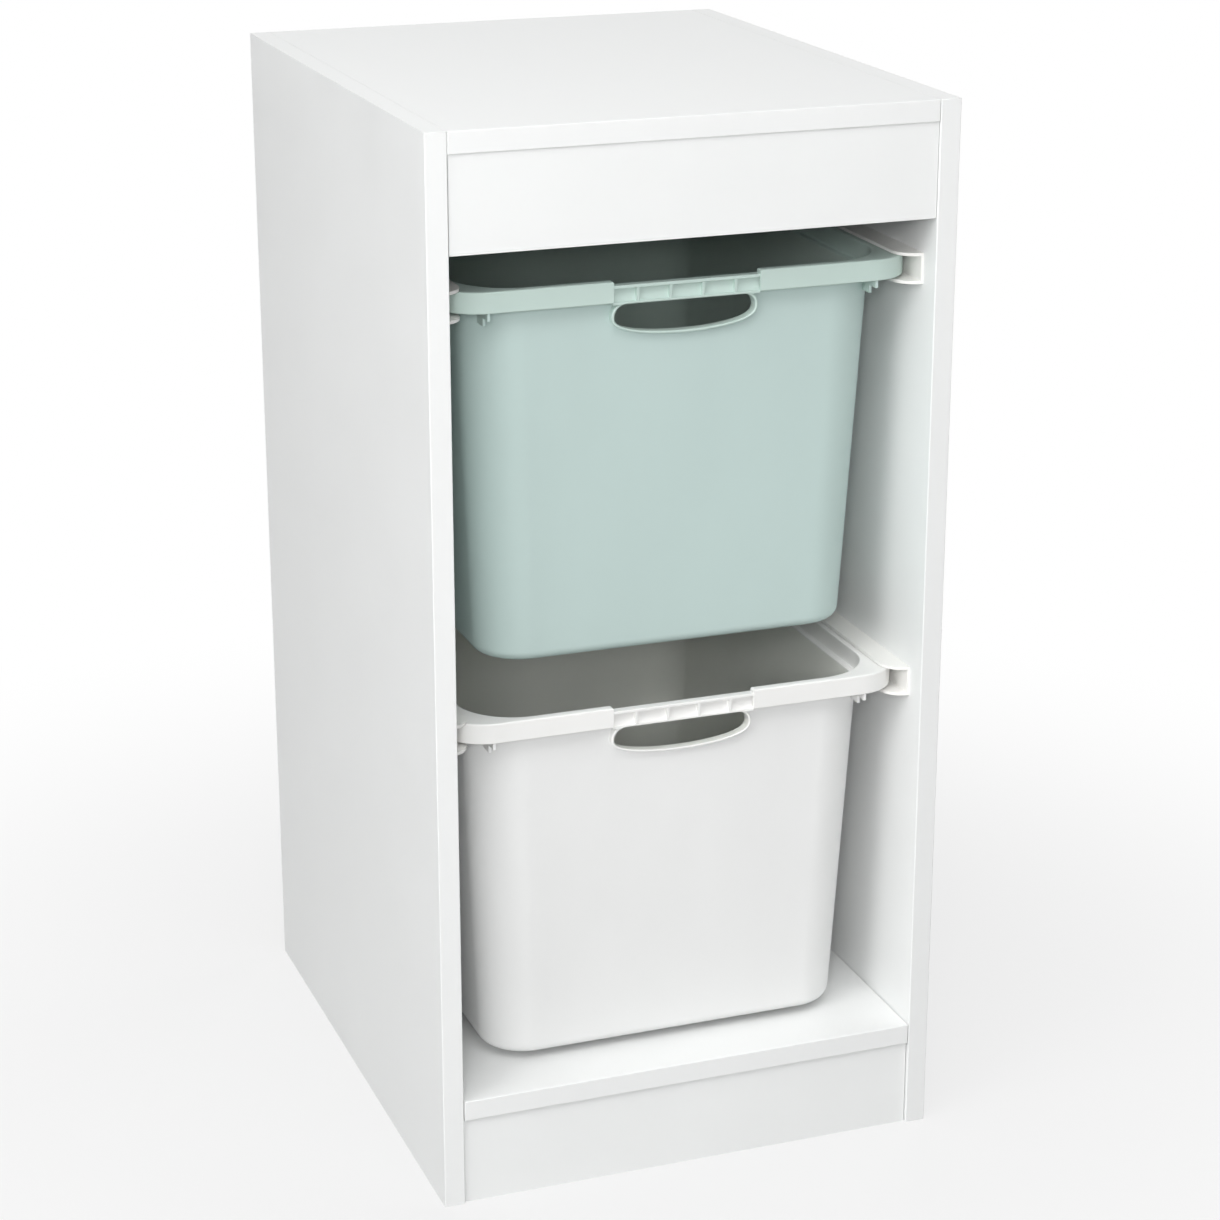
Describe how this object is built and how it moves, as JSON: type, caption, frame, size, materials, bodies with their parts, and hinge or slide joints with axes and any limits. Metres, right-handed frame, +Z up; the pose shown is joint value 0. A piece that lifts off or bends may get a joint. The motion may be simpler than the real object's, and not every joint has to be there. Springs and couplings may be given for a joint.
{
  "type": "sliding bin storage unit",
  "caption": "Narrow white floor cabinet, open at the front, with pull-out plastic bins that slide on moulded channel runners and have hand holes.",
  "frame": {"origin": "middle of the footprint, on the floor", "axes": "+Z up, -Y out of the open front, the way the bins slide out, +X to the right seen from the front"},
  "size_m": [0.4, 0.48, 0.816],
  "materials": {
    "white_board": "white melamine coating, satin",
    "edge_band": "white plastic edge band, satin",
    "runner_plastic": "warm white moulded plastic, satin",
    "mint_plastic": "pale mint moulded plastic, satin",
    "white_plastic": "white moulded plastic, satin",
    "zinc_steel": "bright zinc plating",
    "dowel_wood": "plain beech"
  },
  "bodies": {
    "cabinet": {"side_left": "white_board", "side_right": "white_board", "top_board": "white_board", "bottom_board": "white_board", "front_rail": "white_board", "plinth_board": "white_board", "back_panel": "white_board", "edge_band_left": "edge_band", "edge_band_right": "edge_band", "edge_band_top": "edge_band", "edge_band_bottom": "edge_band", "edge_band_rail": "edge_band", "runner_upper_left": "runner_plastic", "runner_upper_right": "runner_plastic", "runner_lower_left": "runner_plastic", "runner_lower_right": "runner_plastic", "runner_screws": "zinc_steel", "cam_locks": "zinc_steel", "cam_bolts": "zinc_steel", "dowels": "dowel_wood"},
    "upper_bin": {"bin_upper": "mint_plastic"},
    "lower_bin": {"bin_lower": "white_plastic"}
  },
  "joints": [
    {"name": "upper_bin_slide", "type": "slide", "parent": "cabinet", "child": "upper_bin", "axis": [0, -1, 0], "range_m": [0, 0.3]},
    {"name": "lower_bin_slide", "type": "slide", "parent": "cabinet", "child": "lower_bin", "axis": [0, -1, 0], "range_m": [0, 0.3]}
  ]
}
